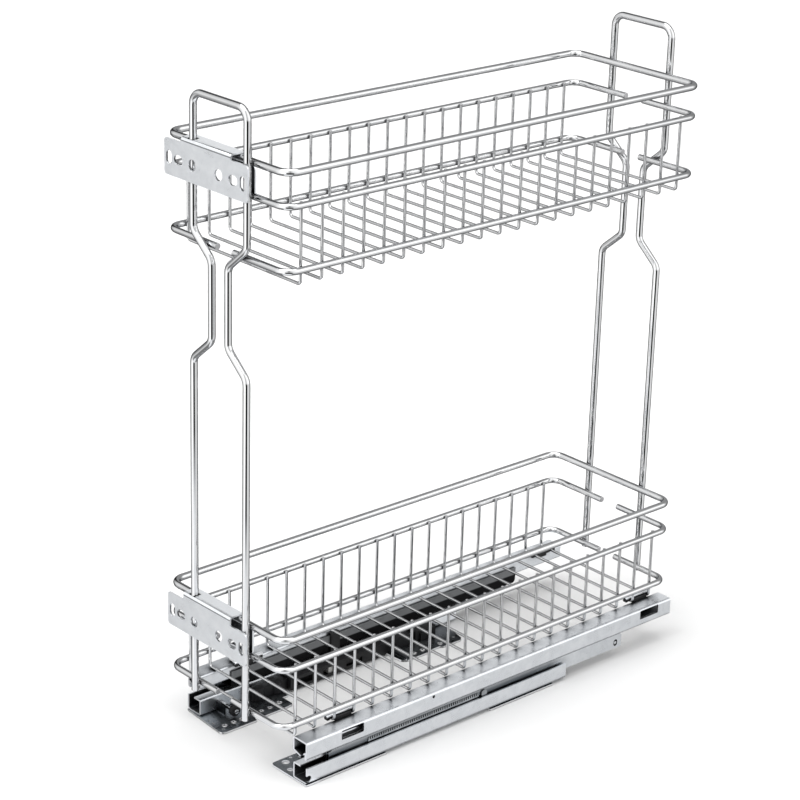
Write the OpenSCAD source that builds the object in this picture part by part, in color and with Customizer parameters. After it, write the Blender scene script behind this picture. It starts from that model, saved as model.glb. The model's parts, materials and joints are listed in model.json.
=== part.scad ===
// Narrow two-tier pull-out basket for a base cabinet.
// X is the width, -Y is the door side, +Z is up.
// The origin is on the cabinet floor, in the middle of the unit.

/* [Basket rings] */
// Width between the long sides of a ring, wire centre to wire centre
ring_w = 143.5; // [142:0.5:144.5]
// Length between the short sides of a ring, wire centre to wire centre
ring_l = 438; // [437:0.5:438.5]
// Corner radius of the rings at the wire centre
ring_corner = 11; // [9:0.5:13]
// Diameter of the top ring wire
top_d = 5.8; // [5.6:0.1:6]
// Diameter of the middle and low rail wire
rail_d = 5.2; // [5:0.1:5.4]
// Sideways offset of the baskets from the middle of the runners
basket_x = -3.35; // [-3.6:0.05:-3]

/* [Cross wires] */
// Diameter of the cross wires
cross_d = 2.5; // [2.3:0.1:2.5]
// Spacing of the cross wires along the basket
cross_pitch = 20.3; // [20:0.1:20.4]
// Distance of the first cross wire behind the front ring wire
cross_first = 16; // [15:0.5:16.5]
// Bend radius of the cross wires at the wire centre
cross_bend = 3; // [2.5:0.25:3.5]

/* [End frames] */
// Diameter of the frame wire
frame_d = 6; // [5.8:0.1:6]
// Half distance between the posts where they are wide apart
post_half = 32.5; // [32:0.5:33]
// Half distance between the posts in the narrow neck
neck_half = 10; // [9:0.5:11]
// Height of the handle bar, wire centre
handle_z = 543; // [530:1:550]
// Bend radius of the frame wire at the wire centre
frame_bend = 10; // [8:0.5:11]

/* [Heights] */
// Height of the lower basket's low rail
lower_z = 52; // [51.9:0.05:52.2]
// Height of the upper basket's low rail
upper_z = 427.2; // [420:0.1:430]

/* [Door brackets] */
// Width of the bracket plate
plate_w = 101; // [98:1:104]
// Height of the bracket plate
plate_h = 28.5; // [27:0.5:30]
// Sheet thickness of the brackets
plate_t = 1.5; // [1.4:0.1:1.5]
// Sideways place of the bracket centre from the basket centre
plate_x = -12; // [-13:0.5:-11]

/* [Runners] */
// Distance from the middle to the inner face of a fixed profile
runner_x = 62.85; // [62.7:0.05:63]
// Front end of the fixed and moving profiles
runner_front = -202; // [-203:0.5:-201.5]
// Rear end of the fixed profile
fixed_rear = 87; // [86:1:90]
// Rear end of the moving profile
moving_rear = 217.5; // [216:0.5:219]
// Front end of the middle profile
middle_front = -176.6; // [-177:0.2:-176]
// Rear end of the middle profile
middle_rear = 158.7; // [157:0.1:160]

/* [Hidden] */
$fn = 48;

bx = basket_x;
mid_y = 0.75;                       // middle of the rings along Y
yf = mid_y - ring_l / 2;            // front ring wire
yb = mid_y + ring_l / 2;            // rear ring wire
rail_l = ring_l + (top_d - rail_d); // low and middle rails reach the posts too
rise_mid = 49.5;                    // low rail to middle rail
left_back = 3.5;                    // the left runner sits this far behind the right one
rise_top = 75.2;                    // low rail to top ring
floor_drop = 12.2;                  // low rail to the floor wires
cross_x = ring_w / 2 - rail_d / 2 - cross_d / 2;
cross_count = 21;
post_off = top_d / 2 + frame_d / 2; // ring wire to post wire
stub_x = 9.5;                       // cut ends of the split rails
zinc = [0.78, 0.80, 0.82];
bright = [0.86, 0.87, 0.89];
dark = [0.22, 0.23, 0.25];

// ---------- wire helpers ----------
function unit(v) = v / norm(v);
function side_of(z) = abs(z[2]) > 0.9 ? unit(cross([0, 1, 0], z)) : unit(cross([0, 0, 1], z));
function frame_of(x, y, z, o) = [[x[0], y[0], z[0], o[0]], [x[1], y[1], z[1], o[1]],
                                 [x[2], y[2], z[2], o[2]], [0, 0, 0, 1]];

// straight round bar from a to b
module rod(a, b, r) {
  z = unit(b - a);
  x = side_of(z);
  multmatrix(frame_of(x, cross(z, x), z, a)) cylinder(h = norm(b - a), r = r);
}

// round bend at corner v, coming along u and leaving along w
module elbow(v, u, w, bend, r) {
  ang = acos(u * w);
  n = unit(w - (u * w) * u);
  c = v - u * (bend * tan(ang / 2)) + n * bend;
  multmatrix(frame_of(-n, u, cross(-n, u), c))
    rotate_extrude(angle = ang) translate([bend, 0]) circle(r = r);
}

// bent wire through the corner points p
module wire(p, bend, r) {
  k = len(p);
  d = [for (i = [0:k - 2]) unit(p[i + 1] - p[i])];
  t = [for (i = [0:k - 1]) (i == 0 || i == k - 1) ? 0 : bend * tan(acos(d[i - 1] * d[i]) / 2)];
  // in a wire with slanting runs the straight rods are a hair thinner and reach into the bends
  skew = max([for (v = d) min(norm([v[0], v[1]]), norm([v[1], v[2]]), norm([v[2], v[0]]))]) > 0.001;
  e = skew ? 0.06 : 0;
  union() {
    for (i = [0:k - 2])
      rod(p[i] + (t[i] - (i == 0 ? 0 : e)) * d[i], p[i + 1] - (t[i + 1] - (i == k - 2 ? 0 : e)) * d[i], r - e / 3);
    for (i = [1:k - 2]) elbow(p[i], d[i - 1], d[i], bend, r);
  }
}

// ---------- sheet helpers ----------
// bar of a 2D section (X, Z) running along Y from y0 to y1
module along_y(y0, y1) { translate([0, y1, 0]) rotate([90, 0, 0]) linear_extrude(y1 - y0) children(); }
// bar of a 2D section (Y, Z) running along X from x0 to x1
module along_x(x0, x1) { translate([x0, 0, 0]) rotate([90, 0, 90]) linear_extrude(x1 - x0) children(); }

function turn(a) = [-a[1], a[0]];
// corner points with the inner ones rounded to radius r[i]
function rounded(p, r, n = 5) = [for (i = [0:len(p) - 1])
  each (i == 0 || i == len(p) - 1 || r[i] == 0) ? [p[i]] :
    let (u = unit(p[i] - p[i - 1]), w = unit(p[i + 1] - p[i]), a = acos(u * w), t = r[i] * tan(a / 2),
         n0 = unit(w - (u * w) * u), c = p[i] - u * t + n0 * r[i])
    [for (j = [0:n]) c - n0 * r[i] * cos(a * j / n) + u * r[i] * sin(a * j / n)]];
// offset a path sideways by d with mitred corners
function shifted(p, d) = [for (i = [0:len(p) - 1])
  let (u = unit(p[min(i + 1, len(p) - 1)] - p[min(i, len(p) - 2)]), w = unit(p[max(i, 1)] - p[max(i - 1, 0)]),
       m = unit(turn(u) + turn(w)))
  p[i] + m * (d / (m * turn(u)))];
// folded sheet section of thickness t along the path p
module fold(p, r, t) {
  q = rounded(p, r);
  a = shifted(q, t / 2);
  b = shifted(q, -t / 2);
  polygon(concat(a, [for (i = [len(b) - 1:-1:0]) b[i]]));
}
module slot2(l, w) { // slot along the first axis
  union() { square([l - w, w], center = true); for (s = [-1, 1]) translate([s * (l - w) / 2, 0]) circle(d = w); }
}
module round_rect(x0, y0, x1, y1, r) {
  union() {
    translate([x0 + r, y0]) square([x1 - x0 - 2 * r, y1 - y0]);
    translate([x0, y0 + r]) square([x1 - x0, y1 - y0 - 2 * r]);
    for (x = [x0 + r, x1 - r], y = [y0 + r, y1 - r]) translate([x, y]) circle(r = r);
  }
}
// place something drawn for the right side on side s
module on_side(s) { if (s > 0) children(); else mirror([1, 0, 0]) children(); }

// ---------- end frames ----------
module end_frame(y) {
  w = post_half; n = neck_half;
  z = [45.8, 333.6, 352.6, 417.3, 436.3, handle_z];
  color(bright) wire([[bx - w, y, z[0]], [bx - w, y, z[1]], [bx - n, y, z[2]], [bx - n, y, z[3]],
    [bx - w, y, z[4]], [bx - w, y, z[5]], [bx + w, y, z[5]], [bx + w, y, z[4]], [bx + n, y, z[3]],
    [bx + n, y, z[2]], [bx + w, y, z[1]], [bx + w, y, z[0]]], frame_bend, frame_d / 2);
}
module front_frame() end_frame(yf - post_off);
module rear_frame() end_frame(yb + post_off);

// ---------- baskets ----------
module closed_ring(z) {
  w = ring_w / 2; r = ring_corner; d = top_d / 2;
  color(bright) union() {
    for (s = [-1, 1]) {
      rod([bx + s * w, yf + r, z], [bx + s * w, yb - r, z], d);
      rod([bx - w + r, s > 0 ? yb : yf, z], [bx + w - r, s > 0 ? yb : yf, z], d);
    }
    elbow([bx - w, yf, z], [0, -1, 0], [1, 0, 0], r, d);
    elbow([bx + w, yf, z], [1, 0, 0], [0, 1, 0], r, d);
    elbow([bx + w, yb, z], [0, 1, 0], [-1, 0, 0], r, d);
    elbow([bx - w, yb, z], [-1, 0, 0], [0, -1, 0], r, d);
  }
}
module side_rail(s, z) {
  w = ring_w / 2; y0 = mid_y - rail_l / 2; y1 = mid_y + rail_l / 2;
  color(bright) wire([[bx + s * stub_x, y0, z], [bx + s * w, y0, z], [bx + s * w, y1, z],
    [bx + s * stub_x, y1, z]], ring_corner, rail_d / 2);
}
module cross_wires(z) {
  zt = z + rise_mid + 1.8; zf = z - floor_drop;
  color(bright) for (i = [0:cross_count - 1]) let (y = yf + cross_first + cross_pitch * i)
    wire([[bx - cross_x, y, zt], [bx - cross_x, y, zf], [bx + cross_x, y, zf], [bx + cross_x, y, zt]],
      cross_bend, cross_d / 2);
}
module upper_top_ring() closed_ring(upper_z + rise_top);
module upper_mid_rail_left() side_rail(-1, upper_z + rise_mid);
module upper_mid_rail_right() side_rail(1, upper_z + rise_mid);
module upper_low_rail_left() side_rail(-1, upper_z);
module upper_low_rail_right() side_rail(1, upper_z);
module upper_cross_wires() cross_wires(upper_z);
module lower_top_ring() closed_ring(lower_z + rise_top);
module lower_mid_rail_left() side_rail(-1, lower_z + rise_mid);
module lower_mid_rail_right() side_rail(1, lower_z + rise_mid);
module lower_low_rail_left() side_rail(-1, lower_z);
module lower_low_rail_right() side_rail(1, lower_z);
module lower_cross_wires() cross_wires(lower_z);

// ---------- door brackets ----------
// Folded plate: punched front plate, a tab over the top ring and a flange behind the wires
module door_bracket(z, low) {
  y0 = -post_off - frame_d / 2 - plate_t;  // front face
  yr = top_d / 2 + 0.1;                    // flange behind the ring
  top = top_d / 2 + 0.1;                   // underside of the tab
  hz = -14.7 - low;
  color(zinc) translate([bx + plate_x, yf, z]) difference() {
    union() {
      along_y(y0, y0 + plate_t) round_rect(-plate_w / 2, -plate_h - low, plate_w / 2, -low, 3);
      along_x(-30, 30) fold([[y0 + plate_t / 2, -4 - low], [y0 + plate_t / 2, top + plate_t / 2],
        [yr + plate_t / 2, top + plate_t / 2], [yr + plate_t / 2, -6]], [0, 2.5, 1.6, 0], plate_t);
      along_y(yr, yr + plate_t) round_rect(-42, -plate_h, 42, -4, 3);
    }
    // round holes, slots across and slots upright
    along_y(y0 - 1, y0 + 3) for (s = [-1, 1]) {
      translate([s * 16, hz]) circle(d = 9);
      translate([s * 33, hz]) slot2(10.6, 7.8);
      translate([s * 44.5, hz]) rotate(90) slot2(11.2, 6.8);
    }
    // open part of the rear flange
    along_y(yr - 1, yr + plate_t + 1) round_rect(-9, -plate_h - 4, 33.5, -12.5, 3);
    // notch for the left post
    translate([-plate_x - post_half - 3.6, y0 + plate_t, 1.2]) cube([7.2, frame_d + 0.6, 6]);
  }
}
module upper_door_bracket() door_bracket(upper_z + rise_top, 0);
module lower_door_bracket() door_bracket(lower_z + rise_top, 2.5); // plate hangs a little lower here

// ---------- runners (drawn for the right side) ----------
rx = runner_x;
rt = 1.4;   // sheet of the profiles
module at_runner(s) translate([rx, s < 0 ? left_back : 0, 0]) children();

module moving_profile(s) color(zinc) on_side(s) at_runner(s) difference() {
  along_y(runner_front, moving_rear) union() {
    fold([[8.6, 24.3], [0.3, 26.9], [0.3, 37.8], [15.7, 37.8], [15.7, 24.9]], [0, 0.9, 1.2, 1.6, 0], rt);
    polygon(concat([[13.8, 29.2], [13.8, 22.9]], [for (a = [-90:15:0]) [14.4 + 2 * cos(a), 24.9 + 2 * sin(a)]], [[16.4, 29.2]]));
    fold([[14.4, 28.8], [12.2, 26.9]], [0, 0], 1.2);
  }
  // windows and the small hole in the outer wall
  along_x(14.9, 18) {
    round_rect(-165.9, 29.2, -142.6, 37.2, 0.9);
    round_rect(178.6, 29.2, 201.6, 37.2, 0.9);
    translate([-67.2, 35]) circle(d = 2.8);
  }
}

module middle_profile(s) color(zinc) on_side(s) at_runner(s) difference() {
  union() {
    difference() {
      along_y(middle_front, middle_rear) union() {
        fold([[3.4, 9.2], [10.2, 9.2], [10.2, 31.6], [3.6, 31.6]], [0, 0.9, 0.9, 0], 1.2);
        translate([10.2, 18]) square([2.6, 1.2]);
        translate([12.5, 9]) square([1.2, 12.8]);
      }
      translate([0, middle_rear - 7.3, 14.2]) along_x(12, 15) rotate(90) slot2(6.2, 4.6);
    }
    // stop pin that shows in the oval hole
    translate([10.4, middle_rear - 7.3, 14.2]) rotate([0, 90, 0]) cylinder(h = 3.1, d = 2.8);
  }
  // rounded upper front corner and lower rear corner of the outer leg
  difference() {
    translate([12.4, middle_front - 1, 17.8]) cube([2, 5, 5]);
    translate([12, middle_front + 4, 17.8]) rotate([0, 90, 0]) cylinder(h = 3, r = 4);
  }
  difference() {
    translate([12.4, middle_rear - 1.5, 8]) cube([2, 2.5, 2.5]);
    translate([12, middle_rear - 1.5, 10.5]) rotate([0, 90, 0]) cylinder(h = 3, r = 1.5);
  }
  difference() {
    translate([12.4, middle_rear - 3, 18.8]) cube([2, 4, 4]);
    translate([12, middle_rear - 3, 18.8]) rotate([0, 90, 0]) cylinder(h = 3, r = 3);
  }
}

module race_cover(s) color([0.30, 0.30, 0.31]) on_side(s) at_runner(s) difference() {
  along_y(middle_front + 6, middle_rear - 0.7)
    fold([[9.6, 18.6], [-1.4, 18.6], [-1.4, 33.3]], [0, 0.9, 0], 1.2);
  difference() {
    translate([-2.5, middle_rear - 5.7, 17]) cube([3, 6, 6]);
    translate([-3, middle_rear - 5.7, 23]) rotate([0, 90, 0]) cylinder(h = 4, r = 5);
  }
}

module fixed_profile(s) color(zinc) on_side(s) at_runner(s) difference() {
  along_y(runner_front, fixed_rear)
    fold([[8.6, 15.3], [0.7, 15.3], [0.7, 2.2], [16.3, 2.2], [16.3, 15.8]], [0, 0.9, 1.2, 2.4, 0], rt);
  // punched relief at the lower front corner of the outer wall, right side only
  if (s > 0) translate([13.6, runner_front + 1.5, 6]) rotate([0, 90, 0]) cylinder(h = 5, r = 3.4);
}

// mounting plates under the fixed profile
module front_plate(s) color([0.42, 0.44, 0.47]) on_side(s) difference() {
  // the left plate is a little wider than the right one
  e = s < 0 ? 28.35 : 34.65;
  f = runner_front - 0.5;
  union() {
    linear_extrude(1.5) polygon(concat(
      [[rx + 17, f + (s < 0 ? left_back : 0)], [rx + 17, -118], [46, -118], [46, -124.5], [e + 10, -124.5]],
      [for (a = [90:15:180]) [e + 5.5 + 2.5 * cos(a), -128 + 3.5 * sin(a)]],
      [[e + 2, -139], [e + 2, -156], [e + 7, -157], [e + 7, -164], [e, -166]],
      [for (a = [180:15:270]) [e + 4 + 4 * cos(a), f + 4 + 4 * sin(a)]]));
    // upturned lug beside the adjusting wheel
    along_y(-182.2, -180.8) polygon([[rx - 0.05, 1], [rx - 0.05, 10.5], [51.5, 9.5], [51.5, 1]]);
  }
  // screw holes, pilot holes and spare holes: [x, y, diameter]
  for (p = s < 0 ? [[e + 9.5, -192.6, 5], [e + 9.5, -183.2, 5], [e + 9.5, -174.8, 5],
                    [e + 24, -197.6, 2.4], [e + 18, -197.8, 2.4], [e + 5, -197.2, 2.4],
                    [e + 10.2, -153, 4.4], [e + 10.2, -144.1, 4.4], [e + 12.2, -132.3, 5]]
                 : [[40.6, -191.6, 6.4], [40.6, -174.8, 6.4], [52.3, -196.5, 5], [37.4, -184, 3],
                    [e + 10.2, -153, 4.4], [e + 10.2, -144.1, 4.4], [e + 12.2, -132.3, 5]])
    translate([p[0], p[1], -1]) cylinder(h = 4, d = p[2]);
}
module rear_plate(s) color([0.42, 0.44, 0.47]) on_side(s) difference() {
  union() {
    linear_extrude(1.5) polygon([[rx + 17, -2], [rx + 17, 72], [44, 72], [34, 70], [30.85, 66], [30.85, 46],
      [33, 44], [33, 34], [30.85, 32], [30.85, 4], [34, -1], [44, -2]]);
    // upturned lug across the front of the plate
    along_y(2.2, 3.6) polygon([[31.6, 1], [47.4, 1], [47.4, 10.4], [31.6, 8.8]]);
  }
  for (p = [[37.2, 16.9], [37.2, 26.7], [37, 47.4]]) translate([p[0], p[1], -1]) cylinder(h = 4, d = 5);
  for (p = [[38.9, 58.6], [38.9, 65]]) translate([p[0], p[1], -1]) cylinder(h = 4, d = 2.4);
}

// ball cages: two strips joined by a leg, with a row of holes in each
cage_pitch = 14;
low_cage = [-98, 56];   low_n = 11;
up_cage = [-74, 116];   up_n = 13;
function row_y(c, n) = [for (i = [0:n - 1]) (c[0] + c[1]) / 2 + (i - (n - 1) / 2) * cage_pitch];
module lower_cage(s) color([0.75, 0.72, 0.62]) on_side(s) at_runner(s) difference() {
  along_y(low_cage[0], low_cage[1]) union() {
    translate([1.9, 11.7]) square([7, 1]);
    translate([1.9, 5.25]) square([10, 1]);
    translate([1.9, 5.25]) square([0.8, 7.4]);
  }
  for (y = row_y(low_cage, low_n)) {
    translate([5.2, y, 11]) cylinder(h = 3, d = 4.5);
    translate([6.5, y, 4]) cylinder(h = 3, d = 5.3);
  }
}
module lower_balls(s) color(bright) on_side(s) at_runner(s) for (y = row_y(low_cage, low_n)) {
  translate([5.2, y, 12.2]) sphere(d = 4.2);
  translate([6.5, y, 5.75]) sphere(d = 5);
}
module upper_cage(s) color([0.75, 0.72, 0.62]) on_side(s) at_runner(s) difference() {
  along_y(up_cage[0], up_cage[1]) union() {
    translate([1.6, 28.05]) square([7.2, 1]);
    translate([1.6, 34.15]) square([10, 1]);
    translate([1.6, 28.05]) square([0.8, 7]);
  }
  for (y = row_y(up_cage, up_n)) {
    translate([5.2, y, 27]) cylinder(h = 3, d = 4.5);
    translate([7, y, 33]) cylinder(h = 3, d = 4.5);
  }
}
module upper_balls(s) color(bright) on_side(s) at_runner(s) for (y = row_y(up_cage, up_n)) {
  translate([5.2, y, 28.55]) sphere(d = 4.2);
  translate([7, y, 34.65]) sphere(d = 4.2);
}

// clips that hold two neighbouring floor wires on the moving profile
function wire_y(i) = yf + cross_first + cross_pitch * (i - 1);
clip_at = [3, 20];
wire_low = lower_z - floor_drop - cross_d / 2;
wire_high = lower_z - floor_drop + cross_d / 2;
module rail_clips(s) color(dark) on_side(s) for (i = clip_at) {
  a = wire_y(i) + cross_d / 2 + 0.15; b = wire_y(i + 1) - cross_d / 2 - 0.15;
  union() {
    translate([57.4, a, 38.5]) cube([7, b - a, wire_high - 38.5]);
    translate([59, a + 3, 35.4]) cube([3.2, b - a - 6, 3.2]);
    // hooks outside the two wires
    for (y = [a - cross_d - 3.3, b + cross_d + 0.3]) translate([57, y, 38.6]) cube([4.5, 3, wire_high - 38.6]);
  }
}
module clip_bars(s) color(zinc) on_side(s) for (i = clip_at) {
  a = wire_y(i) - 5; b = wire_y(i + 1) + 5;
  along_y(a, b) round_rect(57.4, wire_high + 0.02, 61.4, wire_high + 1.7, 0.6);
}

// toothed strip and its round stop on the outer leg of the middle profile
strip_y = [-136, -14]; tooth = 2.4;
module index_strip(s) color([0.62, 0.66, 0.70]) on_side(s) at_runner(s) union() {
  translate([13.7, strip_y[0], 16.4]) cube([0.7, strip_y[1] - strip_y[0], 1.6]);
  for (y = [strip_y[0] + 0.4:tooth:strip_y[1] - 1]) translate([13.7, y, 17.4]) cube([0.7, 1.1, 2.6]);
  translate([13.7, -8, 18.1]) rotate([0, 90, 0]) cylinder(h = 1.2, d = 6.2);
}

module front_buffer(s) color([0.1, 0.1, 0.11]) on_side(s) at_runner(s)
  along_y(middle_front - 6.4, middle_front - 0.6) round_rect(1.2, 27.6, 8.6, 36.9, 1);

// arm on the moving profile that takes the catch slider along
module trigger_arm(s) color(dark) on_side(s) at_runner(s)
  along_y(-64, -54) fold([[-0.4, 35.2], [-3.4, 35.2], [-3.4, 14.6]], [0, 1, 0], 1.2);

// ---------- soft closing unit beside the fixed profile ----------
hx0 = 50.35; hx1 = rx - 0.05;
hy0 = -112; hy1 = -4;
stroke = 38;
module closer_housing(s) color(dark) on_side(s) difference() {
  union() {
    translate([hx0, hy0, 1.6]) cube([hx1 - hx0, hy1 - hy0, 11.4]);
    // front nose with two round pads
    translate([55, -150, 1.6]) cube([hx1 - 55, hy0 + 150.5, 9.6]);
    for (y = [-143, -123]) translate([57, y, 1.6]) cylinder(h = 11, r = 5.2);
    // rear tail above the rear plate, in steps
    translate([51.8, hy1 - 0.5, 1.6]) cube([hx1 - 51.8, 29, 10.2]);
    translate([56, hy1 + 28, 1.6]) cube([hx1 - 56, 9, 7]);
    translate([52.6, hy1 + 36, 1.6]) cube([hx1 - 52.6, 24, 9.4]);
    translate([50.6, hy1 + 41, 1.6]) cube([6, 9, 7.4]);
  }
  translate([hx0 + 1, hy0 + 1, 2.6]) cube([hx1 - hx0 - 2, hy1 - hy0 - 2, 9.4]);
  // slot in the top for the catch and windows in the inner side
  translate([57.2, -108, 11]) cube([3.6, 56, 3]);
  translate([hx0 - 1, -76, 4]) cube([3, 12, 6]);
  translate([hx0 - 1, -104, 4]) cube([3, 16, 6]);
  translate([hx0 - 1, -50, 4.5]) cube([3, 18, 4.5]);
}
module catch_slider(s) color([0.80, 0.80, 0.78]) on_side(s) union() {
  translate([51.8, -69, 3]) cube([9.6, 13, 8.6]);
  translate([57.6, -68, 11]) cube([2.8, 11, 2.7]);
}
cyl_x = 54.6; cyl_z = 7.3;
module damper_cylinder(s) color([0.25, 0.25, 0.27]) on_side(s) translate([cyl_x, -53.5, cyl_z]) rotate([-90, 0, 0]) difference() {
  cylinder(h = 48.5, d = 6);
  translate([0, 0, 1.5]) cylinder(h = 45.5, d = 4.6);
  translate([0, 0, -1]) cylinder(h = 4, d = 2.1);
}
module piston_rod(s) color(bright) on_side(s) translate([cyl_x, -56, cyl_z]) rotate([-90, 0, 0]) union() {
  cylinder(h = 46, d = 2);
  translate([0, 0, 43]) cylinder(h = 3, d = 4.4);
}
module closing_spring(s) color([0.6, 0.6, 0.62]) on_side(s) translate([59.7, -54.5, cyl_z]) rotate([-90, 0, 0]) union() {
  difference() { cylinder(h = 42, d = 3.4); translate([0, 0, -1]) cylinder(h = 44, d = 2.4); }
  translate([-0.3, -1.7, 41]) cube([0.6, 3.4, 8.5]);
}

// ---------- side adjustment at the front plate ----------
adj = [44.5, -177, 7.6];
module adjusting_wheel(s) color([0.35, 0.36, 0.38]) on_side(s) translate([adj[0] - 2, adj[1], adj[2]]) rotate([0, 90, 0]) difference() {
  cylinder(h = 4, r = 4.8);
  translate([0, 0, -1]) cylinder(h = 6, d = 4);
  for (a = [0:30:330]) rotate(a) translate([5.2, 0, -1]) cylinder(h = 6, r = 0.7, $fn = 24);
}
module adjusting_spindle(s) color(bright) on_side(s) translate([adj[0] - 3.5, adj[1], adj[2]]) rotate([0, 90, 0]) difference() {
  cylinder(h = rx - 0.1 - adj[0] + 3.5, d = 4);
  translate([-0.5, -3, -1]) cube([1, 6, 2]);
}

module left_moving_profile() moving_profile(-1);
module right_moving_profile() moving_profile(1);
module left_middle_profile() middle_profile(-1);
module right_middle_profile() middle_profile(1);
module left_race_cover() race_cover(-1);
module right_race_cover() race_cover(1);
module left_fixed_profile() fixed_profile(-1);
module right_fixed_profile() fixed_profile(1);
module left_front_plate() front_plate(-1);
module right_front_plate() front_plate(1);
module left_rear_plate() rear_plate(-1);
module right_rear_plate() rear_plate(1);
module left_lower_cage() lower_cage(-1);
module right_lower_cage() lower_cage(1);
module left_lower_balls() lower_balls(-1);
module right_lower_balls() lower_balls(1);
module left_upper_cage() upper_cage(-1);
module right_upper_cage() upper_cage(1);
module left_upper_balls() upper_balls(-1);
module right_upper_balls() upper_balls(1);
module left_rail_clips() rail_clips(-1);
module right_rail_clips() rail_clips(1);
module left_clip_bars() clip_bars(-1);
module right_clip_bars() clip_bars(1);
module left_index_strip() index_strip(-1);
module right_index_strip() index_strip(1);
module left_front_buffer() front_buffer(-1);
module right_front_buffer() front_buffer(1);
module left_trigger_arm() trigger_arm(-1);
module right_trigger_arm() trigger_arm(1);
module left_closer_housing() closer_housing(-1);
module right_closer_housing() closer_housing(1);
module left_catch_slider() catch_slider(-1);
module right_catch_slider() catch_slider(1);
module left_damper_cylinder() damper_cylinder(-1);
module right_damper_cylinder() damper_cylinder(1);
module left_piston_rod() piston_rod(-1);
module right_piston_rod() piston_rod(1);
module left_closing_spring() closing_spring(-1);
module right_closing_spring() closing_spring(1);
module left_adjusting_wheel() adjusting_wheel(-1);
module right_adjusting_wheel() adjusting_wheel(1);
module left_adjusting_spindle() adjusting_spindle(-1);
module right_adjusting_spindle() adjusting_spindle(1);

front_frame();
rear_frame();
upper_top_ring();
upper_mid_rail_left();
upper_mid_rail_right();
upper_low_rail_left();
upper_low_rail_right();
upper_cross_wires();
lower_top_ring();
lower_mid_rail_left();
lower_mid_rail_right();
lower_low_rail_left();
lower_low_rail_right();
lower_cross_wires();
upper_door_bracket();
lower_door_bracket();
left_moving_profile();
right_moving_profile();
left_middle_profile();
right_middle_profile();
left_race_cover();
right_race_cover();
left_fixed_profile();
right_fixed_profile();
left_front_plate();
right_front_plate();
left_rear_plate();
right_rear_plate();
left_lower_cage();
right_lower_cage();
left_lower_balls();
right_lower_balls();
left_upper_cage();
right_upper_cage();
left_upper_balls();
right_upper_balls();
left_rail_clips();
right_rail_clips();
left_clip_bars();
right_clip_bars();
left_index_strip();
right_index_strip();
left_front_buffer();
right_front_buffer();
left_trigger_arm();
right_trigger_arm();
left_closer_housing();
right_closer_housing();
left_catch_slider();
right_catch_slider();
left_damper_cylinder();
right_damper_cylinder();
left_piston_rod();
right_piston_rod();
left_closing_spring();
right_closing_spring();
left_adjusting_wheel();
right_adjusting_wheel();
left_adjusting_spindle();
right_adjusting_spindle();
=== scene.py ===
import json
import math

import bmesh
import bpy
from mathutils import Matrix, Vector, noise


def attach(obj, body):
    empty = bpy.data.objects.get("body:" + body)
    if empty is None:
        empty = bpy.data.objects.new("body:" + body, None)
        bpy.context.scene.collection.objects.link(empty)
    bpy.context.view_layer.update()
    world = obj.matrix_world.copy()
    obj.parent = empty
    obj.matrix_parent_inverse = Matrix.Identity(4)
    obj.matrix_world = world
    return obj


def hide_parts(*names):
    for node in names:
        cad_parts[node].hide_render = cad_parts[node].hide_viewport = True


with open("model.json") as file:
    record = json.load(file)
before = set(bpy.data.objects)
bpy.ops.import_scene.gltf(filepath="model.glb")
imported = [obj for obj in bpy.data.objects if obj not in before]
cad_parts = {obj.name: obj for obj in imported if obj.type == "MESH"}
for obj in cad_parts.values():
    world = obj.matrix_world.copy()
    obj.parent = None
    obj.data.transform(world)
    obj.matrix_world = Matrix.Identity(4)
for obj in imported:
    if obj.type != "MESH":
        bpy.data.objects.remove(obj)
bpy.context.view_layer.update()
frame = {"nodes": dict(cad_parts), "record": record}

NODES = frame["nodes"]
MM = 0.001
PI = math.pi
SC = bpy.context.scene

# ----------------------------------------------------------------------------
# sizes, in mm, as in the part's source
# ----------------------------------------------------------------------------
BX = -3.35
RING_W, RING_L, CORNER = 143.5, 438.0, 11.0
TOP_D, RAIL_D, CROSS_D, FRAME_D = 5.8, 5.2, 2.5, 6.0
MID_Y = 0.75
YF, YB = MID_Y - RING_L / 2, MID_Y + RING_L / 2
RAIL_L = RING_L + TOP_D - RAIL_D
LOWER_Z, UPPER_Z = 52.0, 427.2
RISE_MID, RISE_TOP, DROP = 49.5, 75.2, 12.2
CROSS_X = RING_W / 2 - RAIL_D / 2 - CROSS_D / 2
CROSS_N, CROSS_P, CROSS_0 = 21, 20.3, 16.0
POST_OFF = TOP_D / 2 + FRAME_D / 2
RX = 62.85

# ----------------------------------------------------------------------------
# camera, at the photograph's viewing angle
# ----------------------------------------------------------------------------
AZ, EL, ROLL = 0.834830705, 0.372149388, 0.027939334
ca, sa, ce, se = math.cos(AZ), math.sin(AZ), math.cos(EL), math.sin(EL)
fwd = Vector((-sa * ce, ca * ce, -se))
right = Vector((ca, sa, 0.0))
up = right.cross(fwd)
r2 = math.cos(ROLL) * right + math.sin(ROLL) * up
u2 = -math.sin(ROLL) * right + math.cos(ROLL) * up
cam_data = bpy.data.cameras.new("camera")
cam_data.sensor_width = 36.0
cam_data.lens = 2512.9395 / 800 * 36.0
cam_data.shift_x = -(400.2511 - 400) / 800
cam_data.shift_y = (399.9911 - 400) / 800
cam_data.clip_start, cam_data.clip_end = 0.05, 60
cam = bpy.data.objects.new("camera", cam_data)
rot = Matrix((r2, u2, -fwd)).transposed().to_4x4()
cam.matrix_world = Matrix.Translation(Vector((1.41165, -1.3202, 1.0087))) @ rot
SC.collection.objects.link(cam)
SC.camera = cam


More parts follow.
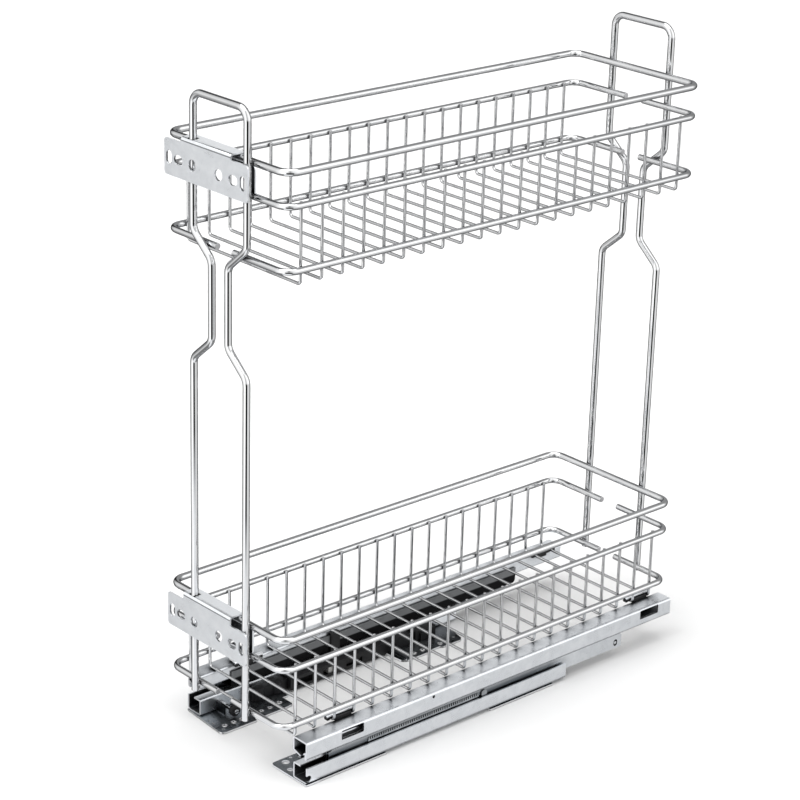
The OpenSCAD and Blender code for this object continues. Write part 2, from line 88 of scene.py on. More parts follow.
# ----------------------------------------------------------------------------
# node material helpers
# ----------------------------------------------------------------------------
class Mat:
    def __init__(self, name):
        self.m = bpy.data.materials.new(name)
        self.m.use_nodes = True
        self.nt = self.m.node_tree
        self.nt.nodes.clear()
        self.out = self.nt.nodes.new("ShaderNodeOutputMaterial")
        self.b = self.nt.nodes.new("ShaderNodeBsdfPrincipled")
        self.nt.links.new(self.b.outputs[0], self.out.inputs[0])
        self.co = self.nt.nodes.new("ShaderNodeTexCoord")

    def set(self, **kw):
        for k, v in kw.items():
            self.b.inputs[k.replace("_", " ")].default_value = v
        return self

    def link(self, a, b):
        self.nt.links.new(a, b)

    def coords(self, scale=(1, 1, 1)):
        mp = self.nt.nodes.new("ShaderNodeMapping")
        mp.inputs["Scale"].default_value = scale
        self.link(self.co.outputs["Object"], mp.inputs["Vector"])
        return mp.outputs[0]

    def noise(self, scale, stretch=(1, 1, 1), detail=3.0, rough=0.5, distortion=0.0):
        n = self.nt.nodes.new("ShaderNodeTexNoise")
        n.inputs["Scale"].default_value = scale
        n.inputs["Detail"].default_value = detail
        n.inputs["Roughness"].default_value = rough
        n.inputs["Distortion"].default_value = distortion
        self.link(self.coords(stretch), n.inputs["Vector"])
        return n.outputs["Fac"]

    def voronoi(self, scale, stretch=(1, 1, 1), feature="F1", out="Distance"):
        n = self.nt.nodes.new("ShaderNodeTexVoronoi")
        n.feature = feature
        n.inputs["Scale"].default_value = scale
        self.link(self.coords(stretch), n.inputs["Vector"])
        return n.outputs[out]

    def ramp(self, fac, stops):
        r = self.nt.nodes.new("ShaderNodeValToRGB")
        e = r.color_ramp.elements
        while len(e) > 1:
            e.remove(e[0])
        e[0].position = stops[0][0]
        e[0].color = self.rgba(stops[0][1])
        for p, c in stops[1:]:
            x = e.new(p)
            x.color = self.rgba(c)
        self.link(fac, r.inputs[0])
        return r.outputs[0]

    @staticmethod
    def rgba(c):
        return (c, c, c, 1) if isinstance(c, (int, float)) else (*c, 1)

    def mix(self, fac, a, b, mode="MIX"):
        n = self.nt.nodes.new("ShaderNodeMix")
        n.data_type = "RGBA"
        n.blend_type = mode
        if isinstance(fac, (int, float)):
            n.inputs["Factor"].default_value = fac
        else:
            self.link(fac, n.inputs["Factor"])
        for sock, v in (("A", a), ("B", b)):
            s = [i for i in n.inputs if i.name == sock and i.type == "RGBA"][0]
            if isinstance(v, bpy.types.NodeSocket):
                self.link(v, s)
            else:
                s.default_value = self.rgba(v)
        return [o for o in n.outputs if o.type == "RGBA"][0]

    def maprange(self, fac, a, b, c, d):
        n = self.nt.nodes.new("ShaderNodeMapRange")
        for i, v in zip((1, 2, 3, 4), (a, b, c, d)):
            n.inputs[i].default_value = v
        self.link(fac, n.inputs[0])
        return n.outputs[0]

    def math(self, op, a, b):
        n = self.nt.nodes.new("ShaderNodeMath")
        n.operation = op
        for i, v in enumerate((a, b)):
            if isinstance(v, (int, float)):
                n.inputs[i].default_value = v
            else:
                self.link(v, n.inputs[i])
        return n.outputs[0]

    def bump(self, height, strength, dist, prev=None):
        n = self.nt.nodes.new("ShaderNodeBump")
        n.inputs["Strength"].default_value = strength
        n.inputs["Distance"].default_value = dist
        self.link(height, n.inputs["Height"])
        if prev is not None:
            self.link(prev, n.inputs["Normal"])
        self.link(n.outputs[0], self.b.inputs["Normal"])
        return n.outputs[0]

    def color(self, s):
        self.link(s, self.b.inputs["Base Color"])

    def shade(self, s, dist, deep, mid=0.55, own=False):
        """Painted shade: darkens the colour in folds and under touching parts, from ambient occlusion."""
        n = self.nt.nodes.new("ShaderNodeAmbientOcclusion")
        n.samples = 8
        n.only_local = own
        n.inputs["Distance"].default_value = dist
        return self.mix(1.0, s, self.ramp(n.outputs["AO"], [(0.0, deep), (0.5, mid), (0.92, 1.0)]), "MULTIPLY")

    def rough(self, s):
        self.link(s, self.b.inputs["Roughness"])


# bright chrome plate on drawn wire: faint cloudiness, fine draw lines
def make_chrome(name, lo=0.61, hi=0.68, r0=0.025, r1=0.065, dull=0.0):
    m = Mat(name).set(Metallic=1.0)
    m.b.inputs["Specular Tint"].default_value = (0.66, 0.67, 0.69, 1)
    cloud = m.noise(34, detail=4, rough=0.55)
    fine = m.noise(420, detail=2)
    c = m.ramp(cloud, [(0.30, (lo, lo + 0.006, lo + 0.016)), (0.70, (hi, hi + 0.004, hi + 0.010))])
    c = m.mix(m.maprange(fine, 0.60, 0.80, 0, 0.25), c, (lo * 0.86, lo * 0.87, lo * 0.88))
    # painted shade: the colour darkens in folds and where wires touch
    m.color(m.shade(c, 0.006, 0.08, 0.45))
    m.rough(m.maprange(m.noise(90, detail=5, rough=0.6), 0.25, 0.75, r0, r1))
    m.bump(m.noise(160, detail=3), 0.015 + dull, 0.0002)
    return m.m


# blue-bright zinc on cold rolled sheet: soft mottling, rolling grain along Y
def make_zinc(name, base=(0.76, 0.785, 0.81), light=(0.86, 0.88, 0.90), r0=0.26, r1=0.40, grain=(60, 4, 60), bump=0.10,
              deep=0.10, reach=0.014, extra=None, own=False, mott_lo=0.90, mid=0.55):
    m = Mat(name).set(Metallic=1.0)
    mott = m.noise(95, detail=5, rough=0.62, distortion=0.6)
    spang = m.voronoi(210, out="Color")
    c = m.ramp(mott, [(0.28, tuple(x * mott_lo for x in base)), (0.48, base), (0.74, light)])
    sep = m.nt.nodes.new("ShaderNodeSeparateColor")
    m.link(spang, sep.inputs[0])
    c = m.mix(m.maprange(sep.outputs[0], 0, 1, 0.0, 0.16), c, tuple(x * 0.80 for x in base))
    lines = m.noise(16, stretch=grain, detail=3, rough=0.7)
    c = m.mix(m.maprange(lines, 0.35, 0.75, 0.0, 0.18), c, light)
    if extra:
        c = extra(m, c)
    # painted shade: the colour darkens in folds, recesses and under touching parts
    m.color(m.shade(c, reach, deep, mid, own))
    m.rough(m.math("ADD", m.maprange(mott, 0.25, 0.75, r0, r1), m.maprange(lines, 0.3, 0.7, -0.03, 0.03)))
    n = m.bump(lines, bump, 0.00012)
    m.bump(m.noise(700, detail=2), bump * 0.8, 0.00008, n)
    return m.m


def xyz(m):
    n = m.nt.nodes.new("ShaderNodeSeparateXYZ")
    m.link(m.co.outputs["Object"], n.inputs[0])
    return n.outputs


def door_end_highlight(m, c, o):
    """Painted highlight: a bright colour on the door end of a rolled profile; the left runner sits 3.5 mm further back.
    """
    back = m.maprange(o[0], -0.001, 0.001, 0.0035, 0.0)
    y = m.math("SUBTRACT", o[1], back)
    return m.mix(m.maprange(y, -0.20175, -0.20165, 1.0, 0.0), c, (0.62, 0.63, 0.65))


def top_profile(m, c):
    """Painted shade: the top face is darker at the door end, and on the left runner towards the front."""
    o = xyz(m)
    face = m.maprange(o[2], 0.0378, 0.0384, 0.0, 1.0)
    door = m.maprange(o[1], -0.199, -0.180, 0.65, 0.0)
    left = m.math("MULTIPLY", m.maprange(o[0], -0.001, 0.001, 1.0, 0.0), m.maprange(o[1], -0.170, -0.060, 0.45, 0.0))
    streak = m.maprange(m.noise(24, stretch=(1, 0.2, 1), detail=4), 0.35, 0.65, 0.7, 1.0)
    f = m.math("MULTIPLY", m.math("MULTIPLY", face, streak), m.math("MAXIMUM", door, left))
    c = m.mix(f, c, (0.13, 0.145, 0.16))
    # painted contact shadow where the floor wires rest on it
    n = m.nt.nodes.new("ShaderNodeAmbientOcclusion")
    n.samples = 12
    n.inputs["Distance"].default_value = 0.010
    feet_shadow = m.maprange(n.outputs["AO"], 0.968, 0.80, 0.13, 0.80)
    c = m.mix(m.math("MULTIPLY", face, feet_shadow), c, (0.10, 0.11, 0.125))
    # painted shade inside the box section
    n = m.nt.nodes.new("ShaderNodeAmbientOcclusion")
    n.samples = 8
    n.only_local = True
    n.inputs["Distance"].default_value = 0.030
    c = m.mix(m.maprange(n.outputs["AO"], 0.52, 0.30, 0.0, 0.92), c, (0.035, 0.038, 0.042))
    return door_end_highlight(m, c, o)


def plate_edge_highlight_and_shade(m, c):
    """Painted highlight on the blanked edges and hole walls, painted shade on the upturned lugs; the left plate is
    darker towards its rear.
    """
    o = xyz(m)
    g = m.nt.nodes.new("ShaderNodeNewGeometry")
    s = m.nt.nodes.new("ShaderNodeSeparateXYZ")
    m.link(g.outputs["Normal"], s.inputs[0])
    side = m.maprange(m.math("ABSOLUTE", s.outputs[2], 0.0), 0.35, 0.75, 1.0, 0.0)
    low = m.maprange(o[2], 0.0016, 0.0022, 1.0, 0.0)
    c = m.mix(m.maprange(o[2], 0.0022, 0.0032, 0.0, 0.95), c, (0.030, 0.032, 0.036))
    c = m.mix(m.math("MULTIPLY", m.maprange(o[0], -0.001, 0.001, 1.0, 0.0), m.maprange(o[1], 0.038, 0.050, 0.0, 0.75)), c,
              (0.040, 0.042, 0.046))
    return m.mix(m.math("MULTIPLY", side, low), c, (0.92, 0.93, 0.95))


# painted shade: the fixed profile greys towards the floor; its door end gets the painted highlight
def grey_foot(m, c):
    o = xyz(m)
    f = m.maprange(o[2], 0.0075, 0.0015, 0.0, 0.25)
    return door_end_highlight(m, m.mix(f, c, (0.40, 0.43, 0.46)), o)


def middle_leg_shade(m, c):
    """Middle member: painted shade darkens the outer leg downwards, less so at its rear; the rear end is a little
    darker all over.
    """
    o = xyz(m)
    low = m.maprange(o[2], 0.0240, 0.0185, 0.25, 1.0)
    rear = m.maprange(o[1], 0.070, 0.095, 1.0, 0.0)
    f = m.math("MULTIPLY", m.math("MULTIPLY", low, rear), m.maprange(m.noise(60, stretch=(1, 0.25, 1)), 0.3, 0.7, 0.8, 1.0))
    c = m.mix(m.maprange(o[1], 0.080, 0.110, 0.0, 0.13), c, (0.10, 0.12, 0.14))
    return m.mix(f, c, (0.055, 0.065, 0.075))


def shaded_flange(m, c):
    """Painted shade: the flange face behind the ring wire is near black, its cut edge left bright."""
    o = xyz(m)
    g = m.nt.nodes.new("ShaderNodeNewGeometry")
    s = m.nt.nodes.new("ShaderNodeSeparateXYZ")
    m.link(g.outputs["Normal"], s.inputs[0])
    face = m.maprange(s.outputs[1], -0.75, -0.95, 0.0, 1.0)
    back = m.maprange(o[1], -0.2175, -0.2160, 0.0, 1.0)
    c = m.mix(m.math("MULTIPLY", face, back), c, (0.030, 0.032, 0.035))
    # painted shade on the top of the tab at the front
    tab = m.math("MULTIPLY", m.maprange(s.outputs[2], 0.985, 0.995, 0.0, 0.13), m.maprange(o[1], -0.205, -0.210, 0.0, 1.0))
    c = m.mix(tab, c, (0.10, 0.10, 0.11))
    # painted reflection: dark lines on both sides of the rounded fold edge
    edge = m.math("MAXIMUM", m.maprange(o[2], 0.5008, 0.5014, 0.0, 1.0),
                  m.math("MULTIPLY", m.maprange(o[2], 0.1236, 0.1242, 0.0, 1.0), m.maprange(o[2], 0.135, 0.140, 1.0, 0.0)))
    front = m.math("MULTIPLY", edge, m.maprange(o[1], -0.2236, -0.2242, 0.0, 1.0))
    up = s.outputs[2]
    line = m.math("MAXIMUM",
                  m.math("MULTIPLY", m.maprange(up, 0.06, 0.14, 0.0, 1.0), m.maprange(up, 0.34, 0.46, 1.0, 0.0)),
                  m.math("MULTIPLY", m.maprange(up, 0.84, 0.90, 0.0, 0.8), m.maprange(up, 0.965, 0.985, 1.0, 0.0)))
    return m.mix(m.math("MULTIPLY", m.math("MULTIPLY", line, front), 0.86), c, (0.16, 0.165, 0.175))


def make_plastic(name, col, r0=0.42, r1=0.6, bump=0.2, spec=0.45, upper=None):
    m = Mat(name).set(Metallic=0.0, Specular_IOR_Level=spec)
    cloud = m.noise(60, detail=4)
    c = m.ramp(cloud, [(0.3, tuple(x * 0.82 for x in col)), (0.7, tuple(min(1, x * 1.15) for x in col))])
    if upper:
        # painted light: the part is lighter above 26.2 to 27.2 mm, on its top
        c = m.mix(m.maprange(xyz(m)[2], 0.0262, 0.0272, 0.0, 1.0), c, upper)
    # painted shade in folds and recesses
    m.color(m.shade(c, 0.012, 0.15))
    m.rough(m.maprange(m.noise(220, detail=3), 0.3, 0.7, r0, r1))
    m.bump(m.voronoi(2600), bump, 0.00006)
    return m.m


CHROME = make_chrome("chrome_wire")
CHROME_THIN = make_chrome("chrome_cross_wire", lo=0.56, hi=0.64, r0=0.04, r1=0.09)
CUT = make_zinc("cut_wire_face", base=(0.50, 0.50, 0.51), light=(0.66, 0.66, 0.67), r0=0.30, r1=0.5, bump=0.25)
WELD = make_chrome("weld_bead", lo=0.36, hi=0.52, r0=0.14, r1=0.30, dull=0.25)
ZINC = make_zinc("zinc_sheet", base=(0.90, 0.925, 0.955), light=(0.94, 0.96, 0.98), extra=shaded_flange, reach=0.004,
                 mott_lo=0.95)
ZINC_STRIP = make_zinc("dark_index_strip", base=(0.30, 0.315, 0.33), light=(0.50, 0.52, 0.54), r0=0.24, r1=0.38,
                       deep=0.0, mid=0.3, reach=0.003)
ZINC_PROFILE = make_zinc("zinc_profile", base=(0.72, 0.745, 0.775), light=(0.84, 0.86, 0.885), r0=0.24, r1=0.38,
                         extra=middle_leg_shade, own=True, reach=0.016, deep=0.02, mid=0.35)
ZINC_TOP = make_zinc("zinc_moving_profile", base=(0.73, 0.755, 0.785), light=(0.84, 0.86, 0.885), r0=0.24, r1=0.38,
                     extra=top_profile, reach=0.009, deep=0.02, mid=0.42)
ZINC_FIXED = make_zinc("zinc_fixed_profile", base=(0.72, 0.745, 0.775), light=(0.84, 0.86, 0.885), r0=0.24, r1=0.38,
                       extra=grey_foot, own=True, reach=0.020, deep=0.0, mid=0.25)
ZINC_DARK = make_zinc("dark_zinc", base=(0.24, 0.26, 0.28), light=(0.37, 0.39, 0.41), r0=0.22, r1=0.36, deep=0.2,
                      reach=0.008, extra=plate_edge_highlight_and_shade)
COVER = make_plastic("dark_grey_plastic", (0.004, 0.004, 0.0045), 0.30, 0.45, spec=0.05, upper=(0.175, 0.18, 0.185))
BLACK = make_plastic("black_plastic", (0.014, 0.014, 0.015), 0.35, 0.55, spec=0.22)
WHEEL = make_plastic("wheel_plastic", (0.010, 0.010, 0.011), 0.30, 0.42, spec=0.15)
LIGHT = make_plastic("light_acetal", (0.60, 0.60, 0.58), 0.28, 0.4, 0.1)
CAGE = make_plastic("natural_acetal", (0.56, 0.52, 0.40), 0.34, 0.5, 0.1)
RUBBER = make_plastic("rubber", (0.018, 0.018, 0.018), 0.6, 0.8, 0.3, 0.3)
POLISHED = make_chrome("polished_steel", lo=0.60, hi=0.68, r0=0.08, r1=0.16)
SPRING = make_zinc("spring_steel", base=(0.34, 0.34, 0.36), light=(0.48, 0.48, 0.50), r0=0.28, r1=0.42)

SLOT = {
    "chrome_wire": CHROME, "zinc_sheet": ZINC, "zinc_profile": ZINC_PROFILE, "dark_zinc": ZINC_DARK,
    "dark_plastic": COVER, "black_plastic": BLACK, "light_plastic": LIGHT, "cage_plastic": CAGE,
    "polished_steel": POLISHED, "spring_steel": SPRING, "rubber": RUBBER,
}
SLOT_OF = {s["node"]: s["material_slot"] for s in frame["record"]["subparts"]}


def set_material(o, *mats):
    o.data.materials.clear()
    for x in mats:
        o.data.materials.append(x)


# ----------------------------------------------------------------------------
# mesh helpers
# ----------------------------------------------------------------------------
def add_mesh(name, verts, faces, mats, slots=None, smooth=True, sharp_deg=35.0):
    me = bpy.data.meshes.new(name)
    me.from_pydata([tuple(c * MM for c in v) for v in verts], [], faces)
    me.validate()
    o = bpy.data.objects.new(name, me)
    SC.collection.objects.link(o)
    set_material(o, *mats)
    if slots:
        me.polygons.foreach_set("material_index", slots)
    me.polygons.foreach_set("use_smooth", [smooth] * len(me.polygons))
    if smooth:
        bm = bmesh.new()
        bm.from_mesh(me)
        for e in bm.edges:
            if len(e.link_faces) == 2 and e.calc_face_angle(0) > math.radians(sharp_deg):
                e.smooth = False
        bm.to_mesh(me)
        bm.free()
    me.update()
    return o


def bend_path(corners, bend, closed=False, step=7.0):
    """Points along a bent wire's centreline: straight runs joined by true arcs."""
    n = len(corners)
    P = [Vector(c) for c in corners]
    out = []
    rng = range(n)
    for i in rng:
        if not closed and i in (0, n - 1):
            out.append(P[i].copy())
            continue
        a, v, b = P[(i - 1) % n], P[i], P[(i + 1) % n]
        u, w = (v - a).normalized(), (b - v).normalized()
        ang = math.acos(max(-1, min(1, u.dot(w))))
        nrm = (w - u * u.dot(w)).normalized()
        t = bend * math.tan(ang / 2)
        c = v - u * t + nrm * bend
        k = max(3, int(math.degrees(ang) / step))
        for j in range(k + 1):
            th = ang * j / k
            out.append(c - nrm * bend * math.cos(th) + u * bend * math.sin(th))
    return out


def sweep(pts, r, seg, normal, closed=False, chamfer=0.35, v0=0):
    """Round tube along planar points. Returns verts, faces, face material slots (1 on the cut ends)."""
    N = Vector(normal).normalized()
    m = len(pts)
    verts, faces, slots = [], [], []

    def ring(c, t, rad):
        s = t.cross(N).normalized()
        base = len(verts)
        for k in range(seg):
            a = 2 * PI * k / seg
            verts.append(c + N * (rad * math.cos(a)) + s * (rad * math.sin(a)))
        return base

    rings = []
    for i in range(m):
        if closed:
            t = (pts[(i + 1) % m] - pts[i - 1]).normalized()
        elif i == 0:
            t = (pts[1] - pts[0]).normalized()
        elif i == m - 1:
            t = (pts[-1] - pts[-2]).normalized()
        else:
            t = ((pts[i + 1] - pts[i]).normalized() + (pts[i] - pts[i - 1]).normalized()).normalized()
        if not closed and i == 0:
            rings.append((ring(pts[0], t, r - chamfer), 1))
            rings.append((ring(pts[0] + t * chamfer, t, r), 0))
        elif not closed and i == m - 1:
            rings.append((ring(pts[-1] - t * chamfer, t, r), 0))
            rings.append((ring(pts[-1], t, r - chamfer), 1))
        else:
            rings.append((ring(pts[i], t, r), 0))
    cnt = len(rings)
    for i in range(cnt if closed else cnt - 1):
        a, b = rings[i][0], rings[(i + 1) % cnt][0]
        for k in range(seg):
            k2 = (k + 1) % seg
            faces.append([v0 + a + k, v0 + a + k2, v0 + b + k2, v0 + b + k])
            slots.append(1 if rings[i][1] or rings[(i + 1) % cnt][1] else 0)
    if not closed:
        for (base, _), flip in ((rings[0], True), (rings[-1], False)):
            f = [v0 + base + k for k in range(seg)]
            faces.append(f[::-1] if flip else f)
            slots.append(1)
    return verts, faces, slots


def tube(name, node, corners, bend, r, seg, normal, mats, closed=False, body="carriage", step=7.0):
    v, f, s = sweep(bend_path(corners, bend, closed, step), r, seg, normal, closed)
    o = add_mesh(name, v, f, mats, s)
    fix_normals(o)
    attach(o, body)
    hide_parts(node)
    return o


def fix_normals(o):
    bm = bmesh.new()
    bm.from_mesh(o.data)
    bmesh.ops.recalc_face_normals(bm, faces=bm.faces)
    bm.to_mesh(o.data)
    bm.free()


# ----------------------------------------------------------------------------
# wires
# ----------------------------------------------------------------------------
def frame_corners(y, zb=45.8):
    w, n = 32.5, 10.0
    z = [zb, 333.6, 352.6, 417.3, 436.3, 543.0]
    xs = [-w, -w, -n, -n, -w, -w, w, w, n, n, w, w]
    zs = z + z[::-1]
    return [(BX + x, y, zz) for x, zz in zip(xs, zs)]


tube("front_frame_wire", "front_frame", frame_corners(YF - POST_OFF), 10, FRAME_D / 2, 32, (0, 1, 0), [CHROME, CUT])
tube("rear_frame_wire", "rear_frame", frame_corners(YB + POST_OFF), 10, FRAME_D / 2, 32, (0, 1, 0), [CHROME, CUT])


def ring_corners(z, w=RING_W / 2, y0=YF, y1=YB):
    return [(BX - w, y0, z), (BX + w, y0, z), (BX + w, y1, z), (BX - w, y1, z)]


def rail_corners(s, z):
    w, y0, y1 = RING_W / 2, MID_Y - RAIL_L / 2, MID_Y + RAIL_L / 2
    return [(BX + s * 9.5, y0, z), (BX + s * w, y0, z), (BX + s * w, y1, z), (BX + s * 9.5, y1, z)]


for lvl, z in (("upper", UPPER_Z), ("lower", LOWER_Z)):
    tube(lvl + "_top_ring_wire", lvl + "_top_ring", ring_corners(z + RISE_TOP), CORNER, TOP_D / 2, 28, (0, 0, 1),
         [CHROME, CUT], closed=True)
    for side, s in (("left", -1), ("right", 1)):
        tube(f"{lvl}_mid_rail_{side}_wire", f"{lvl}_mid_rail_{side}", rail_corners(s, z + RISE_MID), CORNER, RAIL_D / 2,
             26, (0, 0, 1), [CHROME, CUT])
        tube(f"{lvl}_low_rail_{side}_wire", f"{lvl}_low_rail_{side}", rail_corners(s, z), CORNER, RAIL_D / 2,
             26, (0, 0, 1), [CHROME, CUT])
    V, F, S = [], [], []
    zt, zf = z + RISE_MID + 1.8, z - DROP
    for i in range(CROSS_N):
        y = YF + CROSS_0 + CROSS_P * i
        pts = bend_path([(BX - CROSS_X, y, zt), (BX - CROSS_X, y, zf), (BX + CROSS_X, y, zf), (BX + CROSS_X, y, zt)],
                        3.0, step=11)
        v, f, s = sweep(pts, CROSS_D / 2, 16, (0, 1, 0), chamfer=0.25, v0=len(V))
        V += v
        F += f
        S += s
    o = add_mesh(lvl + "_cross_wires_mesh", V, F, [CHROME_THIN, CUT], S)
    fix_normals(o)
    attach(o, "carriage")
    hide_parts(lvl + "_cross_wires")


# resistance-weld beads where wires touch
def bead(c, rad, seed, V, F, su=10, sv=7):
    base = len(V)
    c = Vector(c)
    for j in range(sv + 1):
        ph = PI * j / sv
        for k in range(su):
            th = 2 * PI * k / su
            d = Vector((math.sin(ph) * math.cos(th), math.sin(ph) * math.sin(th), math.cos(ph)))
            q = 1 + 0.16 * noise.noise(d * 1.7 + Vector((seed * 1.37, seed * 0.71, 0)))
            V.append(c + Vector((d.x * rad[0], d.y * rad[1], d.z * rad[2])) * q)
    for j in range(sv):
        for k in range(su):
            k2 = (k + 1) % su
            a, b = base + j * su + k, base + j * su + k2
            F.append([a, b, b + su, a + su])


for lvl, z in (("upper", UPPER_Z), ("lower", LOWER_Z)):
    V, F = [], []
    for i in range(CROSS_N):
        y = YF + CROSS_0 + CROSS_P * i
        for s in (-1, 1):
            x = BX + s * (CROSS_X + CROSS_D / 2)
            for zz in (z, z + RISE_MID):
                bead((x, y, zz), (0.75, 1.15, 1.45), i * 3.1 + s + zz, V, F)
    for k, (zz, hw) in enumerate(((z + RISE_TOP, 32.5), (z + RISE_MID, 32.5), (z, 32.5 if lvl == "lower" else 21.7))):
        for s in (-1, 1):
            for yy in (YF - TOP_D / 2, YB + TOP_D / 2):
                bead((BX + s * hw, yy, zz), (2.0, 0.85, 1.9), k * 5.3 + s + yy, V, F, 14, 9)
    o = add_mesh(lvl + "_weld_beads", V, F, [WELD], sharp_deg=80)
    bm = bmesh.new()
    bm.from_mesh(o.data)
    bmesh.ops.remove_doubles(bm, verts=bm.verts, dist=1e-7)
    bmesh.ops.recalc_face_normals(bm, faces=bm.faces)
    bm.to_mesh(o.data)
    bm.free()
    o.data.polygons.foreach_set("use_smooth", [True] * len(o.data.polygons))
    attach(o, "carriage")

# ----------------------------------------------------------------------------
# carried-over CAD nodes: finish, and softened edges
# ----------------------------------------------------------------------------
BEVEL = {
    "upper_door_bracket": 0.25, "lower_door_bracket": 0.25,
    "moving_profile": 0.18, "fixed_profile": 0.18, "middle_profile": 0.15, "race_cover": 0.2,
    "front_plate": 0.25, "rear_plate": 0.25, "rail_clips": 0.5, "clip_bars": 0.2, "front_buffer": 0.4,
    "trigger_arm": 0.2, "closer_housing": 0.5, "catch_slider": 0.4, "adjusting_wheel": 0.2, "adjusting_spindle": 0.2,
}
for n, o in NODES.items():
    if o.hide_render:
        continue
    mat = ZINC_TOP if n.endswith("moving_profile") else ZINC_FIXED if n.endswith("fixed_profile") else SLOT[SLOT_OF[n]]
    if n.endswith("index_strip"):
        mat = ZINC_STRIP
    if n.endswith("adjusting_wheel"):
        mat = WHEEL
    set_material(o, mat)
    o.data.polygons.foreach_set("material_index", [0] * len(o.data.polygons))
    key = n if n in BEVEL else n.split("_", 1)[1]
    if key in BEVEL:
        w = o.modifiers.new("weld", "WELD")
        w.merge_threshold = 1e-6
        b = o.modifiers.new("soft", "BEVEL")
        b.width = BEVEL[key] * MM
        b.segments = 2
        b.limit_method = "ANGLE"
        b.angle_limit = math.radians(32)
        b.harden_normals = False
        b.use_clamp_overlap = True
        b.miter_outer = "MITER_ARC"

# ----------------------------------------------------------------------------
# stage: pale floor, soft light
# ----------------------------------------------------------------------------
me = bpy.data.meshes.new("floor")
me.from_pydata([(-30, -30, 0), (30, -30, 0), (30, 30, 0), (-30, 30, 0)], [], [(0, 1, 2, 3)])
floor = bpy.data.objects.new("floor", me)
SC.collection.objects.link(floor)
fm = Mat("floor_paint").set(Roughness=0.75, Specular_IOR_Level=0.15)
pale = fm.ramp(fm.noise(1.3, detail=2), [(0.3, (0.78, 0.78, 0.78)), (0.7, (0.80, 0.80, 0.80))])
# painted shadow: the floor colour is darker in an ellipse under the object
floor_shadow_spot = fm.nt.nodes.new("ShaderNodeVectorMath")
floor_shadow_spot.operation = "LENGTH"
fm.link(fm.coords((1 / 0.17, 1 / 0.30, 0)), floor_shadow_spot.inputs[0])
fm.color(fm.mix(fm.maprange(floor_shadow_spot.outputs["Value"], 0.45, 1.25, 1.0, 0.0), pale, (0.64, 0.64, 0.64)))
set_material(floor, fm.m)
floor.location.z = -0.0003


def area(name, loc, target, size, power, size_y=None):
    d = bpy.data.lights.new(name, "AREA")
    d.energy = power
    d.size = size
    if size_y:
        d.shape = "RECTANGLE"
        d.size_y = size_y
    o = bpy.data.objects.new(name, d)
    o.location = loc
    o.rotation_mode = "QUATERNION"
    o.rotation_quaternion = (Vector(target) - Vector(loc)).to_track_quat("-Z", "Y")
    SC.collection.objects.link(o)
    return o


key = area("key", (-0.47, -2.2, 4.1), (0, 0, 0.2), 1.9, 60)
# a panel behind, for the sheet metal only
back = area("back_panel", (-1.62, 1.47, 1.15), (0, 0, 0.03), 1.5, 4.5)
zinc_only = bpy.data.collections.new("sheet_metal")
for n, o in NODES.items():
    if SLOT_OF[n] in ("zinc_sheet", "zinc_profile"):
        zinc_only.objects.link(o)
back.light_linking.receiver_collection = zinc_only

# a white card on the floor before the front posts: it only shows in their lower halves
def floor_card(x0, y0, reach, fade):
    fx, fy = sa, -ca
    rx_, ry_ = ca, sa
    vs = []
    rows = 14
    for i in range(rows + 1):
        d = reach * i / rows
        h = 0.07 + 0.46 * d
        for k in (-1, 1):
            vs.append((x0 + fx * d + rx_ * h * k, y0 + fy * d + ry_ * h * k, 0.0))
    mesh = bpy.data.meshes.new("floor_card")
    mesh.from_pydata(vs, [], [(2 * i, 2 * i + 1, 2 * i + 3, 2 * i + 2) for i in range(rows)])
    o = bpy.data.objects.new("floor_card", mesh)
    SC.collection.objects.link(o)
    mt = bpy.data.materials.new("white_card")
    mt.use_nodes = True
    t = mt.node_tree
    t.nodes.clear()
    out = t.nodes.new("ShaderNodeOutputMaterial")
    em = t.nodes.new("ShaderNodeEmission")
    tr = t.nodes.new("ShaderNodeBsdfTransparent")
    mx = t.nodes.new("ShaderNodeMixShader")
    co = t.nodes.new("ShaderNodeTexCoord")
    ds = t.nodes.new("ShaderNodeVectorMath")
    ds.operation = "DISTANCE"
    ds.inputs[1].default_value = (x0, y0, 0.0)
    mr = t.nodes.new("ShaderNodeMapRange")
    mr.inputs["From Min"].default_value = reach - fade
    mr.inputs["From Max"].default_value = reach * 0.98
    mr.inputs["To Min"].default_value = 0.0
    mr.inputs["To Max"].default_value = 1.0
    t.links.new(co.outputs["Object"], ds.inputs[0])
    t.links.new(ds.outputs["Value"], mr.inputs["Value"])
    t.links.new(mr.outputs[0], mx.inputs[0])
    t.links.new(em.outputs[0], mx.inputs[1])
    t.links.new(tr.outputs[0], mx.inputs[2])
    t.links.new(mx.outputs[0], out.inputs[0])
    em.inputs["Color"].default_value = (0.97, 0.98, 1.0, 1)
    em.inputs["Strength"].default_value = 1.25
    o.data.materials.append(mt)
    o.location.z = -0.0002
    for flag in ("visible_camera", "visible_diffuse", "visible_transmission", "visible_volume_scatter", "visible_shadow"):
        setattr(o, flag, False)
    return o


floor_card(-0.0153, -0.2242, 0.60, 0.20)

# the studio around it: white walls, one dark flag and a greyer far side
world = bpy.data.worlds.new("studio")
SC.world = world
world.use_nodes = True
nt = world.node_tree
nt.nodes.clear()
wo = nt.nodes.new("ShaderNodeOutputWorld")
bg = nt.nodes.new("ShaderNodeBackground")
nt.links.new(bg.outputs[0], wo.inputs[0])
tc = nt.nodes.new("ShaderNodeTexCoord")


def dot(v):
    n = nt.nodes.new("ShaderNodeVectorMath")
    n.operation = "DOT_PRODUCT"
    n.inputs[1].default_value = v
    nt.links.new(tc.outputs["Generated"], n.inputs[0])
    return n.outputs["Value"]


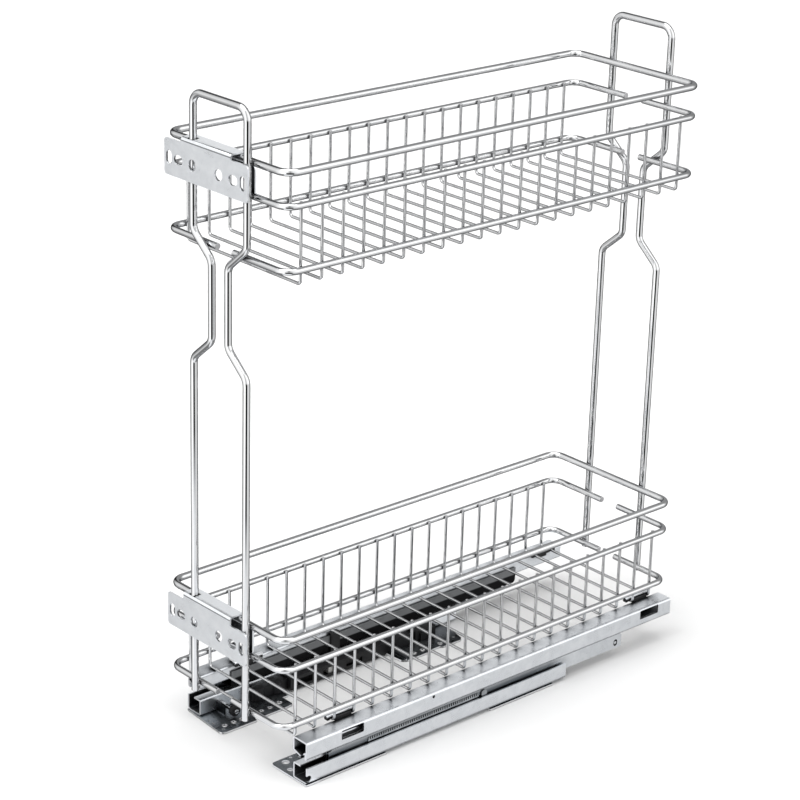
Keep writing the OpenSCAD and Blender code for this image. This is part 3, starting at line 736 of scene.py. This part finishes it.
def wmath(op, a, b=0.0):
    n = nt.nodes.new("ShaderNodeMath")
    n.operation = op
    for i, v in enumerate((a, b)):
        if isinstance(v, (int, float)):
            n.inputs[i].default_value = v
        else:
            nt.links.new(v, n.inputs[i])
    return n.outputs[0]


def wramp(fac, stops):
    r = nt.nodes.new("ShaderNodeValToRGB")
    e = r.color_ramp.elements
    while len(e) > 1:
        e.remove(e[0])
    e[0].position = stops[0][0]
    e[0].color = (stops[0][1],) * 3 + (1,)
    for p, c in stops[1:]:
        x = e.new(p)
        x.color = (c, c, c, 1)
    nt.links.new(fac, r.inputs[0])
    return r.outputs[0]


def wmix(fac, a, b):
    n = nt.nodes.new("ShaderNodeMix")
    n.data_type = "RGBA"
    nt.links.new(fac, n.inputs["Factor"])
    for name, v in (("A", a), ("B", b)):
        s = [i for i in n.inputs if i.name == name and i.type == "RGBA"][0]
        if isinstance(v, (int, float)):
            s.default_value = (v, v, v, 1)
        else:
            nt.links.new(v, s)
    return [o for o in n.outputs if o.type == "RGBA"][0]


def wstep(x, a, b):
    n = nt.nodes.new("ShaderNodeMapRange")
    n.interpolation_type = "SMOOTHSTEP"
    n.inputs[1].default_value, n.inputs[2].default_value = a, b
    nt.links.new(x, n.inputs[0])
    return n.outputs[0]


def sind(d):
    return math.sin(math.radians(d))


# azimuth is counted from the camera's side of the object, positive to the picture's right
front = dot((sa, -ca, 0.0))
side = dot((ca, sa, 0.0))
azim = wmath("ADD", wmath("DIVIDE", wmath("ARCTAN2", side, front), 2 * PI), 0.5)
zz = dot((0, 0, 1))


def around(*stops):
    return wramp(azim, [(0.5 + d / 360.0, v / 1.5) for d, v in stops])


low = around((-180, 0.10), (-130, 0.12), (-108, 0.34), (-88, 0.80), (-62, 1.12), (-45, 1.36), (-24, 1.36),
             (-17, 0.0), (24, 0.0), (32, 0.72), (50, 0.84), (84, 0.74), (106, 0.34), (130, 0.12), (180, 0.10))
high = around((-180, 0.34), (-172, 0.22), (-163, 0.03), (-149, 0.03), (-136, 0.40), (-118, 0.72), (-96, 0.88),
              (-45, 1.3), (-15, 1.1), (4, 0.35), (26, 0.95), (60, 1.30), (92, 1.30), (104, 0.76), (116, 0.36),
              (150, 0.28), (180, 0.34))
tot = wmix(wstep(zz, sind(-7), sind(5)), low, high)
tot = wmix(wstep(zz, sind(-33), sind(-46)), tot, 0.22 / 1.5)
tot = wmix(wstep(zz, sind(60), sind(68)), tot, 2.4 / 1.5)
nt.links.new(tot, bg.inputs["Color"])
bg.inputs["Strength"].default_value = 1.95
floor.visible_glossy = False

SC.view_settings.view_transform = "Standard"
SC.view_settings.look = "None"
SC.view_settings.exposure = 0.0
